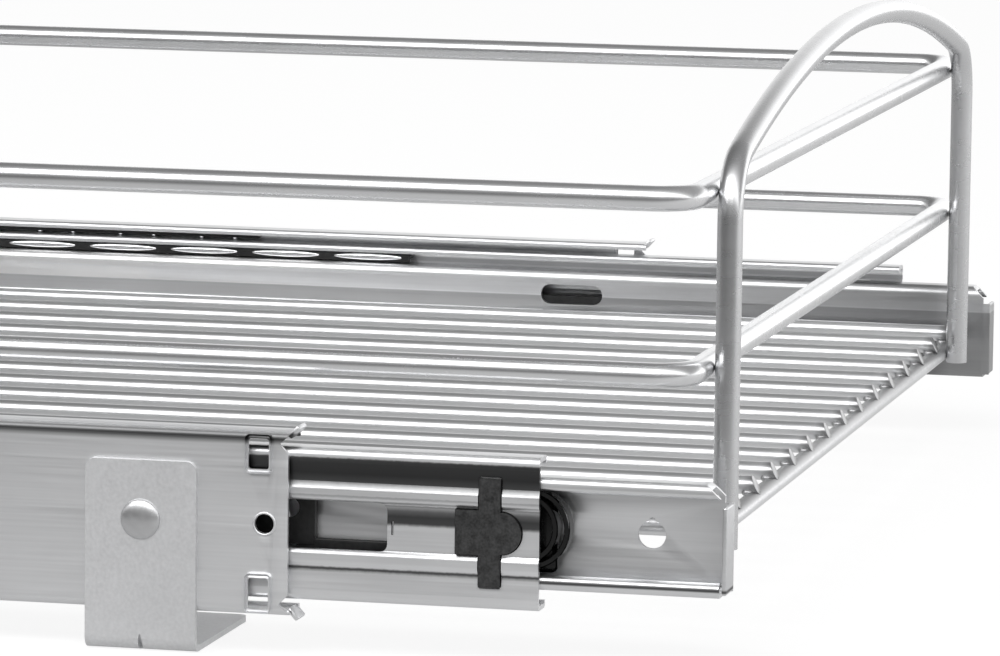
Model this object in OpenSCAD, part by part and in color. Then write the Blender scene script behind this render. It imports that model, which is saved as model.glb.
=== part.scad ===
// Pull out cabinet basket: chrome wire basket on two full extension ball slides.
// Millimetres, +Z up, front is -Y. Origin on the cabinet floor, in the middle of
// the box that the part fills in the half open pose it is drawn in.
// Left is -X. Every left piece is mirrored across X = 0 for the right side.

/* [Basket wire] */
// Distance of a hoop leg inside the drawer member web, to the leg centre
leg_inset = 22.5; // [20:0.5:30]
// Distance of a side rail inside the drawer member web, to the wire centre
rail_inset = 3; // [1:0.1:6]
// Distance of the front hoop behind the drawer member front
hoop_lead = 4.5; // [4:0.1:8]
// Distance of the rear hoop in front of the drawer member rear
rear_hoop_lead = 9.5; // [6:0.1:20]
// Diameter of the hoop and rail wire
wire_d = 6.35; // [5:0.05:7]
// Diameter of the floor wires
floor_wire_d = 4.9; // [4:0.1:5.2]
// Diameter of the end rods that carry the floor wires
rod_d = 4.8; // [4:0.1:6]
// Number of floor wires, one of them outside each hoop leg
floor_wire_count = 16; // [12:1:20]
// Centre height of the upper ring
upper_rail_z = 115.2; // [95:0.1:120]
// Centre height of the lower ring
lower_rail_z = 71.7; // [60:0.1:85]
// Centre height of the end rods
rod_z = 28.8; // [28:0.1:30]
// Height at which the hoop legs are cut off
leg_end_z = 26.6; // [24:0.1:28]
// Highest point of the arch, wire centre
arch_top_z = 144.6; // [142:0.1:150]
// Drop of the arch from its top to where a bend starts, at the bend centre
arch_drop = 20; // [16:1:24]
// Radius of the two bends between a leg and the arch
hoop_bend_r = 16; // [12:0.5:20]
// Radius of the ring corners
rail_bend_r = 10; // [8:0.5:14]
// Distance of an end rod behind its hoop
rod_setback = 5.3; // [5:0.1:5.5]
// Depth to which the floor wires sink into the end rods where they are welded
weld_sink = 1.2; // [0.6:0.1:1.4]
// Distance of the floor wire tips from the hoop centre
tip_setback = 3.4; // [3:0.1:4]
// Slope of the sheared wire tips
tip_slope = 25; // [20:1:35]

/* [Slides] */
// Length of each slide member
slide_len = 450; // [430:1:470]
// Width over the two cabinet members
slide_span = 438.4; // [430:0.1:450]
// Height of the slide centre above the cabinet floor
slide_z = 33; // [30:0.1:36]
// Distance of the cabinet member front behind the drawer member front
pull_out = 106.4; // [90:0.1:120]
// Distance of the left middle member front behind the drawer member front
left_mid_out = 44.4; // [40:0.1:60]
// Distance of the right middle member front behind the drawer member front
right_mid_out = 26.7; // [22:0.1:36]
// Height of the cabinet member
cab_h = 45.7; // [45.4:0.1:46]
// Height of the middle member
mid_h = 37.9; // [37.8:0.1:38]
// Height of the drawer member
draw_h = 27.9; // [27.8:0.1:28]
// Depth of the whole slide, cabinet side to basket side
slide_depth = 12.7; // [12.6:0.1:13]
// Sheet thickness of the webs
web_t = 1.2; // [1:0.1:1.3]
// Sheet thickness at the ball tracks
track_t = 1.4; // [1.3:0.1:1.5]
// Outside bend radius of the members
member_bend_r = 2.4; // [2:0.1:2.8]
// Depth of the cabinet member flanges
cab_flange = 9.6; // [9.4:0.1:9.8]
// Depth at which the middle member web starts
mid_web_s = 2.2; // [2.2:0.1:2.3]
// Depth at which the middle member flanges end
mid_flange_s = 10.4; // [10.3:0.1:10.5]
// Depth at which the drawer member flanges start
draw_rim_s = 4.6; // [4.5:0.1:4.8]
// Width of the turned lips at the flange ends
lip_w = 1.1; // [1:0.1:1.2]
// Drop of the turned lips
lip_drop = 0.7; // [0.5:0.1:0.8]
// Depth of the pressed middle band of the middle member
band_depth = 0.6; // [0.4:0.1:0.7]
// Half height of the pressed middle band
band_half = 6.6; // [6.4:0.1:7]

/* [Slide openings] */
// Length of the long window in the middle member
window_len = 150; // [100:1:200]
// Half height of the long window
window_half = 6.1; // [5:0.1:6.2]
// Distance of the long window behind the middle member front
window_back = 38.2; // [34:0.1:50]
// Width of the two lance windows of the cabinet member
lance_w = 5.8; // [4:0.1:7]
// Height of the two lance windows
lance_h = 8.1; // [6:0.1:9]
// Distance of a lance window centre above or below the slide centre
lance_z = 17.4; // [16.5:0.1:18]
// Distance of the lance windows behind the cabinet member front
lance_back = 8.1; // [7:0.1:12]
// Radius of the round hole in the cabinet member
cab_hole_r = 2.45; // [1.5:0.05:3]
// Distance of the cabinet member web behind the ends of its flanges
web_back = 0.7; // [0.3:0.1:1.2]
// Length of the two corner notches of the cabinet member, wedges that open to the front
notch_len = 3; // [2:0.1:4]
// Distance of the notch points above or below the slide centre
notch_z = 19.9; // [18:0.1:20]
// Half height of a notch at the front
notch_open = 2.9; // [2:0.1:2.9]
// Length of the flared ears of the cabinet member
ear_len = 2.7; // [1.5:0.1:4]
// Opening angle of the flared ears
ear_angle = 48; // [30:1:60]
// Radius of the front hole in the drawer member
draw_hole_r = 3.5; // [2:0.1:4]
// Distance of the front hole behind the drawer member front
draw_hole_back = 18.1; // [12:0.1:24]
// Height of the front hole above the slide centre
draw_hole_z = 0.1; // [0:0.1:2]
// Radius of the small nib above the front hole
nib_r = 0.8; // [0.5:0.1:1]
// Length of the oblong hole in the drawer member
oblong_len = 19.7; // [12:0.1:26]
// Height of the oblong hole in the drawer member
oblong_h = 6.4; // [4:0.1:8]
// Height of the oblong hole centre above the slide centre
oblong_z = 6.6; // [4:0.1:8]
// Distance of the oblong hole centre behind the drawer member front
oblong_back = 129; // [110:1:200]
// Distance of the end tab in front of the drawer member flanges
tab_front = 2.1; // [1.5:0.1:3]
// Width of the end tab
tab_w = 9.2; // [8:0.1:9.4]
// Half height of the end tab below the slide centre
tab_low = 12.9; // [10:0.1:13.4]
// Height of the end tab above the slide centre
tab_high = 8.8; // [6:0.1:9]
// Size of the chamfer at the top front corner
draw_chamfer = 3.4; // [2:0.1:4]

/* [Balls and retainers] */
// Radius of the balls between the cabinet and middle members
outer_ball_r = 1.4; // [1.38:0.01:1.42]
// Height of the outer ball centres from the slide centre
outer_ball_z = 20.2; // [20.18:0.01:20.22]
// Depth of the outer ball centres
outer_ball_s = 6.2; // [6:0.1:6.4]
// Radius of the balls between the middle and drawer members
inner_ball_r = 1.9; // [1.88:0.01:1.92]
// Height of the inner ball centres from the slide centre
inner_ball_z = 15.75; // [15.73:0.01:15.77]
// Depth of the inner ball centres
inner_ball_s = 7; // [6.8:0.1:7.2]
// Gap between a ball and its track
ball_gap = 0.05; // [0.02:0.01:0.08]
// Length of one retainer slot with its two balls
slot_pitch = 26.6; // [24:0.1:30]
// Distance between the two balls of one slot
ball_pitch = 10.9; // [8:0.1:12]
// Number of slots in an outer retainer
outer_slots = 4; // [2:1:4]
// Number of slots in an inner retainer
inner_slots = 6; // [3:1:6]
// Thickness of the retainer strips
strip_t = 0.8; // [0.6:0.1:1]
// Distance of the closed retainers behind the closed cabinet member front
cage_back = 164.7; // [160:0.1:170]
// Height of the visible retainer rim
rim_h = 2.3; // [2:0.1:2.4]
// Length of one slot in the visible rim
rim_slot_len = 17; // [12:0.1:20]
// Height of one slot in the visible rim
rim_slot_h = 1.2; // [0.8:0.1:1.4]

/* [Plastic pieces] */
// Length of the square part of the front stop
stop_sq_len = 5.9; // [4:0.1:8]
// Half height of the square part of the front stop
stop_sq_half = 5.5; // [4:0.1:6]
// Length of the upright bar of the front stop
stop_bar_len = 5.4; // [4:0.1:8]
// Half height of the upright bar of the front stop
stop_bar_half = 13.5; // [10:0.1:14]
// Radius of the round nose of the front stop
stop_nose_r = 5.2; // [4:0.1:5.5]
// Distance of the nose centre behind the middle member front
stop_back = 9.6; // [8:0.1:12]
// Depth at which the front stop starts
stop_s = 1.9; // [1.8:0.1:2.2]
// Thickness of each bow of the bumper
bow_t = 1; // [0.8:0.1:1.4]
// Half height of the outer bow of the bumper
bow_half = 9.4; // [7:0.1:10]
// Height of the bumper centre above the slide centre
bow_z = 1.4; // [0:0.1:2]
// Reach of the outer bow in front of the middle member
bow_reach = 7.2; // [6:0.1:8.6]
// Reach of the inner bow in front of the middle member
inner_bow_reach = 4.2; // [3:0.1:5]
// Depth at which the bumper ends
bumper_end_s = 8.2; // [7:0.1:8.4]
// Distance of the bumper root behind the middle member front
bumper_root = 6; // [4:0.1:8]
// Length of the release lever
lever_len = 60; // [40:1:80]
// Half height of the release lever
lever_half = 6; // [4:0.1:8]
// Thickness of the release lever
lever_t = 2.5; // [1.5:0.1:2.5]
// Distance of the release lever behind the drawer member front
lever_back = 102.5; // [90:0.1:110]
// Distance of the lever rivet behind the front of the lever
lever_rivet_back = 6.3; // [5:0.1:10]
// Height of the lever rivet above the slide centre
lever_rivet_z = 3.2; // [0:0.1:3.4]
// Radius of the lever rivet head
lever_rivet_r = 2.5; // [2:0.1:3]
// Height of the lever rivet head
lever_rivet_h = 0.6; // [0.4:0.1:0.6]

/* [Feet] */
// Width of a foot
foot_w = 28.4; // [24:0.1:36]
// Height of a foot
foot_h = 47.7; // [40:0.1:50]
// Reach of a foot from the outside of the slide
foot_reach = 50; // [44:1:70]
// Sheet thickness of a foot
foot_t = 1.5; // [1.2:0.1:2]
// Outside bend radius of a foot
foot_bend_r = 3.2; // [3:0.1:4]
// Corner radius of a foot
foot_corner_r = 2.2; // [1:0.1:4]
// Distance of the foot centre from the end of the cabinet member
foot_inset = 37.9; // [32:0.1:60]
// Distance of a screw hole from the outside of the slide
screw_inset = 31.2; // [28:0.1:36]
// Radius of the screw holes in the feet
screw_r = 2.4; // [1.5:0.1:3]
// Radius of the rivet heads
rivet_head_r = 5.1; // [4:0.1:6]
// Height of the rivet heads
rivet_head_h = 1.7; // [1:0.1:2.5]
// Radius of the rivet shanks
rivet_shank_r = 2; // [1.5:0.1:2.5]
// Radius of the closing heads inside the slide
closing_r = 3.2; // [2.6:0.1:4]
// Height of the closing heads inside the slide
closing_h = 0.4; // [0.2:0.1:0.5]
// Reach of the gusset pressed into a foot bend
gusset_reach = 6.5; // [4:0.1:8]
// Width of the gusset
gusset_w = 2.6; // [2:0.1:4]

/* [Hidden] */
$fn = 48;

// Front of the drawer members, from the overall length of the half open part.
total_len = tab_front + pull_out + slide_len;
draw_y = tab_front - total_len / 2;
cab_y = draw_y + pull_out;
left_mid_y = draw_y + left_mid_out;
right_mid_y = draw_y + right_mid_out;
hoop_y = draw_y + hoop_lead;
rear_hoop_y = draw_y + slide_len - rear_hoop_lead;
floor_z = rod_z + rod_d / 2 + floor_wire_d / 2 - weld_sink;
front_rod_y = hoop_y + rod_setback;
rear_rod_y = rear_hoop_y - rod_setback;
side_x = slide_span / 2;
web_x = side_x - slide_depth;
leg_x = web_x - leg_inset;
rail_x = web_x - rail_inset;
floor_wire_pitch = 2 * leg_x / (floor_wire_count - 2);
half_cab = cab_h / 2;
half_mid = mid_h / 2;
half_draw = draw_h / 2;
bend_cx = leg_x - hoop_bend_r;
bend_reach = (bend_cx * bend_cx + arch_drop * arch_drop) / (2 * arch_drop);
bend_rise = bend_reach - arch_drop;
arch_r = bend_reach + hoop_bend_r;
arch_cz = arch_top_z - arch_r;
bend_cz = arch_cz + bend_rise;
// Overrun of the cuts.
over = 1;
// Gap left between a bumper and the end tab in the closed basket.
bumper_clear = 1;
// Way back from the drawn pose to the closed basket.
closed_travel = pull_out - bow_reach - web_t + tab_front - bumper_clear;
left_mid_ratio = (pull_out - left_mid_out) / closed_travel;
right_mid_ratio = (pull_out - right_mid_out) / closed_travel;
cage_y = cab_y + cage_back;
left_outer_cage_y = cage_y - closed_travel * left_mid_ratio / 2;
right_outer_cage_y = cage_y - closed_travel * right_mid_ratio / 2;
left_inner_cage_y = cage_y - closed_travel * (left_mid_ratio + 1) / 2;
right_inner_cage_y = cage_y - closed_travel * (right_mid_ratio + 1) / 2;
outer_cage_len = outer_slots * slot_pitch;
inner_cage_len = inner_slots * slot_pitch;
front_foot_y = cab_y + foot_inset;
rear_foot_y = cab_y + slide_len - foot_inset;

// Places the left piece as drawn, or mirrored for the right side.
module on_side(right) {
    mirror([right ? 1 : 0, 0, 0]) children();
}

// A slide section drawn as depth and height, run along Y from y0 over len.
module along_slide(y0, len) {
    translate([-side_x, y0 + len, slide_z])
        rotate([90, 0, 0]) linear_extrude(len) children();
}

// A flat outline drawn as distance behind the front and height, on the left
// slide, with its thickness between the depths s0 and s1.
module on_web(y0, s0, s1) {
    translate([-side_x + s0, y0, slide_z])
        rotate([90, 0, 90]) linear_extrude(s1 - s0) children();
}

// Solid outline of a channel with its back at depth s0, opening to s1.
module channel_blank(h, s0, s1, r) {
    translate([s0 + r, -h]) square([s1 - s0 - r, 2 * h]);
    translate([s0, -h + r]) square([r, 2 * h - 2 * r]);
    translate([s0 + r, h - r]) circle(r);
    translate([s0 + r, -h + r]) circle(r);
}

module channel(h, s0, s1, r) {
    difference() {
        channel_blank(h, s0, s1, r);
        channel_blank(h - track_t, s0 + web_t, s1 + over, r - web_t);
    }
}

// The four ball tracks that a member has, cut a little larger than the balls.
module tracks(s, z, r) {
    translate([s, z]) circle(r + ball_gap);
    translate([s, -z]) circle(r + ball_gap);
}

module lips(s, z) {
    translate([s, z - lip_drop]) square([lip_w, lip_drop]);
    translate([s, -z]) square([lip_w, lip_drop]);
}

module cabinet_section() {
    difference() {
        union() {
            channel(half_cab, 0, cab_flange, member_bend_r);
            lips(cab_flange - lip_w, half_cab - track_t);
        }
        tracks(outer_ball_s, outer_ball_z, outer_ball_r);
    }
}

module middle_section() {
    difference() {
        union() {
            channel(half_mid, mid_web_s, mid_flange_s, member_bend_r);
            lips(mid_flange_s - lip_w, half_mid - track_t);
            translate([mid_web_s, -band_half - band_depth])
                square([web_t + band_depth, 2 * band_half + 2 * band_depth]);
        }
        translate([mid_web_s - over, -band_half])
            square([over + band_depth, 2 * band_half]);
        tracks(outer_ball_s, outer_ball_z, outer_ball_r);
        tracks(inner_ball_s, inner_ball_z, inner_ball_r);
    }
}

module drawer_section() {
    difference() {
        translate([slide_depth + draw_rim_s, 0]) mirror([1, 0]) union() {
            channel(half_draw, draw_rim_s, slide_depth, member_bend_r);
            lips(slide_depth - lip_w, half_draw - track_t);
        }
        tracks(inner_ball_s, inner_ball_z, inner_ball_r);
    }
}

// One flared ear at the front of a cabinet member flange.
module ear() {
    translate([-side_x + member_bend_r, cab_y, slide_z + half_cab - web_t])
        rotate([-ear_angle, 0, 0])
            translate([0, -ear_len, 0])
                cube([cab_flange - member_bend_r, ear_len + web_t, web_t]);
}

module cabinet_member(right) {
    on_side(right) color([0.72, 0.73, 0.75]) difference() {
        union() {
            along_slide(cab_y, slide_len) cabinet_section();
            ear();
            translate([0, 0, 2 * slide_z]) mirror([0, 0, 1]) ear();
        }
        // Set back web, corner notches, lance windows and the round hole.
        on_web(cab_y, -over, member_bend_r) {
            translate([-over, -half_cab]) square([web_back + over, 2 * half_cab]);
            for (k = [-1, 1]) polygon([[0, k * (notch_z - notch_open)],
                [notch_len, k * notch_z], [0, k * (notch_z + notch_open)]]);
        }
        on_web(cab_y, -over, web_t + over) {
            translate([lance_back - lance_w / 2, lance_z - lance_h / 2]) square([lance_w, lance_h]);
            translate([lance_back - lance_w / 2, -lance_z - lance_h / 2]) square([lance_w, lance_h]);
            translate([lance_back - lance_w / 4, 0]) circle(cab_hole_r);
            translate([foot_inset, 0]) circle(rivet_shank_r);
            translate([slide_len - foot_inset, 0]) circle(rivet_shank_r);
        }
    }
}

// Outline of the cross shaped stop, distance behind the middle member front.
module stop_outline() {
    translate([stop_back, 0]) circle(stop_nose_r);
    translate([stop_back, -stop_bar_half]) square([stop_bar_len, 2 * stop_bar_half]);
    translate([stop_back, -stop_sq_half])
        square([stop_bar_len + stop_sq_len, 2 * stop_sq_half]);
}

module middle_member(right, y0) {
    on_side(right) color([0.72, 0.73, 0.75]) difference() {
        along_slide(y0, slide_len) middle_section();
        on_web(y0, mid_web_s - over, mid_web_s + web_t + band_depth + over) {
            stop_outline();
            translate([window_back, -window_half]) square([window_len, 2 * window_half]);
        }
    }
}

module front_stop(right, y0) {
    on_side(right) color([0.06, 0.06, 0.065])
        on_web(y0, stop_s, mid_web_s + web_t + band_depth) stop_outline();
}

// A bow from one height to the other, reaching forward by reach. Its ends run
// into the root of the bumper.
module bow_outline(reach, half) {
    r = (half * half + reach * reach) / (2 * reach);
    difference() {
        translate([r - reach, 0]) circle(r);
        translate([r - reach, 0]) circle(r - bow_t);
        translate([bow_t / 2, -2 * half]) square([2 * r, 4 * half]);
    }
}

module bumper(right, y0) {
    on_side(right) color([0.05, 0.05, 0.055]) {
        on_web(y0, mid_web_s + web_t + band_depth, bumper_end_s) translate([0, bow_z]) {
            bow_outline(bow_reach, bow_half);
            bow_outline(inner_bow_reach, bow_half - 2 * bow_t);
            difference() {
                translate([0, bow_t / 2 - bow_half]) square([bumper_root, 2 * bow_half - bow_t]);
                translate([bow_t, 3 / 2 * bow_t - bow_half])
                    square([bumper_root, 2 * bow_half - 3 * bow_t]);
            }
        }
    }
}

module drawer_member(right) {
    on_side(right) color([0.74, 0.75, 0.77]) {
        difference() {
            along_slide(draw_y, slide_len) drawer_section();
            on_web(draw_y, draw_rim_s + track_t, slide_depth + over) {
                translate([draw_hole_back, draw_hole_z]) circle(draw_hole_r);
                translate([draw_hole_back, draw_hole_z + draw_hole_r]) circle(nib_r);
                translate([oblong_back, oblong_z]) {
                    square([oblong_len - oblong_h, oblong_h], center = true);
                    translate([(oblong_len - oblong_h) / 2, 0]) circle(oblong_h / 2);
                    translate([-(oblong_len - oblong_h) / 2, 0]) circle(oblong_h / 2);
                }
            }
            on_web(draw_y, 0, slide_depth + over)
                polygon([[-over, half_draw - draw_chamfer - over],
                    [draw_chamfer + over, half_draw + over], [-over, half_draw + over]]);
        }
        // End tab: the web runs on in front and turns out towards the cabinet.
        on_web(draw_y, slide_depth - web_t, slide_depth)
            translate([-tab_front, -tab_low]) square([tab_front, tab_low + tab_high]);
        on_web(draw_y, slide_depth - tab_w, slide_depth - web_t)
            translate([-tab_front, -tab_low]) square([web_t, tab_low + tab_high]);
    }
}

module release_lever(right) {
    on_side(right) color([0.07, 0.07, 0.075]) difference() {
        on_web(draw_y + lever_back, slide_depth - track_t - lever_t, slide_depth - track_t)
            difference() {
                translate([0, -lever_half]) square([lever_len, 2 * lever_half]);
                translate([lever_rivet_back, lever_rivet_z]) circle(rivet_shank_r);
            }
        // A thinner finger grip at the rear half.
        on_web(draw_y + lever_back, 0, slide_depth - track_t - lever_t / 2)
            translate([lever_len / 2, -lever_half / 2]) square([lever_len, lever_half]);
    }
}

module lever_rivet(right) {
    on_side(right) color([0.8, 0.8, 0.82]) {
        on_web(draw_y + lever_back, slide_depth - track_t - lever_t - lever_rivet_h,
            slide_depth - track_t - lever_t)
            translate([lever_rivet_back, lever_rivet_z]) circle(lever_rivet_r);
        on_web(draw_y + lever_back, slide_depth - track_t - lever_t, slide_depth - track_t)
            translate([lever_rivet_back, lever_rivet_z]) circle(rivet_shank_r);
    }
}

// Ball places along a retainer: two balls in each slot.
function ball_at(i) = (floor(i / 2) + 1 / 2) * slot_pitch + (i % 2 == 0 ? -1 : 1) * ball_pitch / 2;

module balls(right, y0, slots, s, z, r) {
    on_side(right) color([0.85, 0.86, 0.88])
        for (i = [0 : 2 * slots - 1], k = [-1, 1])
            translate([-side_x + s, y0 + ball_at(i), slide_z + k * z]) sphere(r);
}

module outer_balls(right, y0) {
    balls(right, y0, outer_slots, outer_ball_s, outer_ball_z, outer_ball_r);
}

module inner_balls(right, y0) {
    balls(right, y0, inner_slots, inner_ball_s, inner_ball_z, inner_ball_r);
}

// A flat retainer strip at ball height, with a pocket round each ball.
module strip(y0, len, slots, s0, s1, s, z, r) {
    translate([-side_x, y0, slide_z + z - strip_t / 2]) difference() {
        translate([s0, 0, 0]) cube([s1 - s0, len, strip_t]);
        for (i = [0 : 2 * slots - 1])
            translate([s, ball_at(i), -over]) cylinder(r = r + ball_gap, h = strip_t + 2 * over);
    }
}

module outer_retainer(right, y0) {
    on_side(right) color([0.06, 0.06, 0.065]) for (k = [-1, 1])
        strip(y0, outer_cage_len, outer_slots, outer_ball_s - outer_ball_r - strip_t,
            outer_ball_s + outer_ball_r + strip_t / 2, outer_ball_s, k * outer_ball_z, outer_ball_r);
}

// The inner retainer also has an upright rim with long slots, seen from inside.
module inner_retainer(right, y0) {
    rim_s = inner_ball_s + inner_ball_r + strip_t / 2;
    on_side(right) color([0.06, 0.06, 0.065]) for (k = [-1, 1]) union() {
        strip(y0, inner_cage_len, inner_slots, inner_ball_s - inner_ball_r - strip_t, rim_s,
            inner_ball_s, k * inner_ball_z, inner_ball_r);
        difference() {
            on_web(y0, rim_s, rim_s + strip_t)
                translate([0, k * (inner_ball_z - strip_t / 4) - rim_h / 2])
                    square([inner_cage_len, rim_h]);
            on_web(y0, rim_s - over, rim_s + strip_t + over)
                for (i = [0 : inner_slots - 1])
                    translate([(i + 1 / 2) * slot_pitch, k * inner_ball_z])
                        square([rim_slot_len, rim_slot_h], center = true);
        }
    }
}

// Outline of a foot seen along the slide: upright plate, bend and flat sole.
module foot_outline() {
    translate([-foot_t, foot_bend_r]) square([foot_t, foot_h - foot_bend_r]);
    translate([foot_bend_r - foot_t, 0]) square([foot_reach - foot_bend_r, foot_t]);
    intersection() {
        translate([-foot_t, 0]) square(foot_bend_r);
        translate([foot_bend_r - foot_t, foot_bend_r]) difference() {
            circle(foot_bend_r);
            circle(foot_bend_r - foot_t);
        }
    }
}

module foot(right, yc) {
    on_side(right) color([0.6, 0.61, 0.62]) difference() {
        union() {
            translate([-side_x, yc + foot_w / 2, 0])
                rotate([90, 0, 0]) linear_extrude(foot_w) foot_outline();
            // Gusset pressed up across the bend.
            translate([-side_x, yc + gusset_w / 2, 0]) rotate([90, 0, 0]) linear_extrude(gusset_w)
                polygon([[-foot_t / 2, foot_t / 2], [gusset_reach, foot_t / 2],
                    [gusset_reach, foot_t], [0, gusset_reach + foot_t],
                    [-foot_t / 2, gusset_reach + foot_t]]);
        }
        // Groove that the gusset leaves on the outside.
        translate([-side_x, yc, 0]) rotate([0, 45, 0])
            cube([gusset_reach, gusset_w / 2, gusset_reach / 2], center = true);
        // Rounded top corners.
        for (k = [-1, 1]) translate([-side_x - foot_t - over, yc + k * (foot_w / 2 - foot_corner_r),
            foot_h - foot_corner_r]) rotate([0, 90, 0]) difference() {
                translate([-foot_corner_r - over, k > 0 ? 0 : -foot_corner_r - over, 0])
                    cube([foot_corner_r + over, foot_corner_r + over, foot_t + 2 * over]);
                cylinder(r = foot_corner_r, h = foot_t + 2 * over);
            }
        translate([-side_x - foot_t - over, yc, slide_z]) rotate([0, 90, 0])
            cylinder(r = rivet_shank_r, h = foot_t + 2 * over);
        translate([screw_inset - side_x, yc, -over]) cylinder(r = screw_r, h = foot_t + 2 * over);
    }
}

// A dome headed rivet through the foot and the cabinet member.
module foot_rivet(right, yc) {
    dome_r = (rivet_head_r * rivet_head_r + rivet_head_h * rivet_head_h) / (2 * rivet_head_h);
    on_side(right) color([0.75, 0.76, 0.78])
        translate([-side_x, yc, slide_z]) rotate([0, 90, 0]) union() {
        translate([0, 0, -foot_t]) cylinder(r = rivet_shank_r, h = foot_t + web_t + closing_h / 2);
        translate([0, 0, web_t]) cylinder(r = closing_r, h = closing_h);
        translate([0, 0, -foot_t]) intersection() {
            translate([0, 0, dome_r - rivet_head_h]) sphere(dome_r);
            translate([0, 0, -rivet_head_h]) cylinder(r = rivet_head_r + over, h = rivet_head_h);
        }
    }
}

// Straight wire from a point, along X or along Y.
module wire_x(x0, x1, y, z, d) {
    translate([x0, y, z]) rotate([0, 90, 0]) cylinder(d = d, h = x1 - x0);
}

module wire_y(x, y0, y1, z, d) {
    translate([x, y1, z]) rotate([90, 0, 0]) cylinder(d = d, h = y1 - y0);
}

// A ring of wire standing across the basket, kept inside an outline that
// starts at its centre.
module wire_arc(x, z, r, outline) {
    translate([x, 0, z]) intersection() {
        rotate([90, 0, 0]) rotate_extrude() translate([r, 0]) circle(d = wire_d);
        translate([0, wire_d, 0]) rotate([90, 0, 0]) linear_extrude(2 * wire_d) polygon(outline);
    }
}

// One hoop: two legs, two bends and the arch, all of one wire. The bends end
// on the line from the arch centre through the bend centre.
module hoop(yc) {
    color([0.78, 0.79, 0.81]) translate([0, yc, 0]) union() {
        for (k = [-1, 1]) translate([k * leg_x, 0, leg_end_z])
            cylinder(d = wire_d, h = bend_cz - leg_end_z);
        for (k = [-1, 1]) wire_arc(k * bend_cx, bend_cz, hoop_bend_r,
            [[0, 0], [k * bend_cx, 0], [k * bend_cx, bend_rise]]);
        wire_arc(0, arch_cz, arch_r,
            [[0, 0], [2 * bend_cx, 2 * bend_rise], [-2 * bend_cx, 2 * bend_rise]]);
    }
}

// One closed ring with rounded corners between the two hoops.
module ring(z) {
    y0 = hoop_y + wire_d;
    y1 = rear_hoop_y - wire_d;
    color([0.78, 0.79, 0.81]) union() {
        for (y = [y0, y1]) wire_x(-rail_x + rail_bend_r, rail_x - rail_bend_r, y, z, wire_d);
        for (x = [-rail_x, rail_x]) wire_y(x, y0 + rail_bend_r, y1 - rail_bend_r, z, wire_d);
        for (q = [[rail_x, y1, 0], [-rail_x, y1, 90], [-rail_x, y0, 180], [rail_x, y0, 270]])
            translate([q[0] - sign(q[0]) * rail_bend_r,
                q[1] - sign(q[1] - (y0 + y1) / 2) * rail_bend_r, z])
                rotate([0, 0, q[2]]) rotate_extrude(angle = 90)
                    translate([rail_bend_r, 0]) circle(d = wire_d);
    }
}

// An end rod between the drawer members, behind the legs, which bite into it.
module end_rod(y, hoop) {
    color([0.78, 0.79, 0.81]) difference() {
        wire_x(-web_x, web_x, y, rod_z, rod_d);
        for (k = [-1, 1]) translate([k * leg_x, hoop, leg_end_z - over])
            cylinder(d = wire_d, h = wire_d + rod_d + over);
    }
}

module floor_wires() {
    y0 = hoop_y + tip_setback;
    y1 = rear_hoop_y - tip_setback;
    color([0.76, 0.77, 0.79]) for (i = [0 : floor_wire_count - 1]) {
        x = (i - (floor_wire_count - 1) / 2) * floor_wire_pitch;
        difference() {
            wire_y(x, y0, y1, floor_z, floor_wire_d);
            // Sheared tips, longest at the bottom.
            translate([x - floor_wire_d, y0, floor_z - floor_wire_d / 2])
                rotate([-tip_slope, 0, 0]) translate([0, -2 * floor_wire_d, 0])
                    cube([2 * floor_wire_d, 2 * floor_wire_d, 3 * floor_wire_d]);
            translate([x - floor_wire_d, y1, floor_z - floor_wire_d / 2])
                rotate([tip_slope, 0, 0])
                    cube([2 * floor_wire_d, 2 * floor_wire_d, 3 * floor_wire_d]);
            // Saddles in which the wire sits on the end rods.
            for (y = [front_rod_y, rear_rod_y])
                wire_x(x - floor_wire_d, x + floor_wire_d, y, rod_z, rod_d);
        }
    }
}

module front_hoop() { hoop(hoop_y); }
module rear_hoop() { hoop(rear_hoop_y); }
module upper_ring() { ring(upper_rail_z); }
module lower_ring() { ring(lower_rail_z); }
module front_rod() { end_rod(front_rod_y, hoop_y); }
module rear_rod() { end_rod(rear_rod_y, rear_hoop_y); }
module left_drawer_member() { drawer_member(false); }
module right_drawer_member() { drawer_member(true); }
module left_release_lever() { release_lever(false); }
module right_release_lever() { release_lever(true); }
module lever_rivets() { lever_rivet(false); lever_rivet(true); }
module left_middle_member() { middle_member(false, left_mid_y); }
module right_middle_member() { middle_member(true, right_mid_y); }
module left_front_stop() { front_stop(false, left_mid_y); }
module right_front_stop() { front_stop(true, right_mid_y); }
module left_bumper() { bumper(false, left_mid_y); }
module right_bumper() { bumper(true, right_mid_y); }
module left_outer_retainer() { outer_retainer(false, left_outer_cage_y); }
module right_outer_retainer() { outer_retainer(true, right_outer_cage_y); }
module left_inner_retainer() { inner_retainer(false, left_inner_cage_y); }
module right_inner_retainer() { inner_retainer(true, right_inner_cage_y); }
module left_outer_balls() { outer_balls(false, left_outer_cage_y); }
module right_outer_balls() { outer_balls(true, right_outer_cage_y); }
module left_inner_balls() { inner_balls(false, left_inner_cage_y); }
module right_inner_balls() { inner_balls(true, right_inner_cage_y); }
module left_cabinet_member() { cabinet_member(false); }
module right_cabinet_member() { cabinet_member(true); }
module left_front_foot() { foot(false, front_foot_y); }
module right_front_foot() { foot(true, front_foot_y); }
module left_rear_foot() { foot(false, rear_foot_y); }
module right_rear_foot() { foot(true, rear_foot_y); }
module foot_rivets() {
    for (right = [false, true], yc = [front_foot_y, rear_foot_y]) foot_rivet(right, yc);
}

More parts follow.
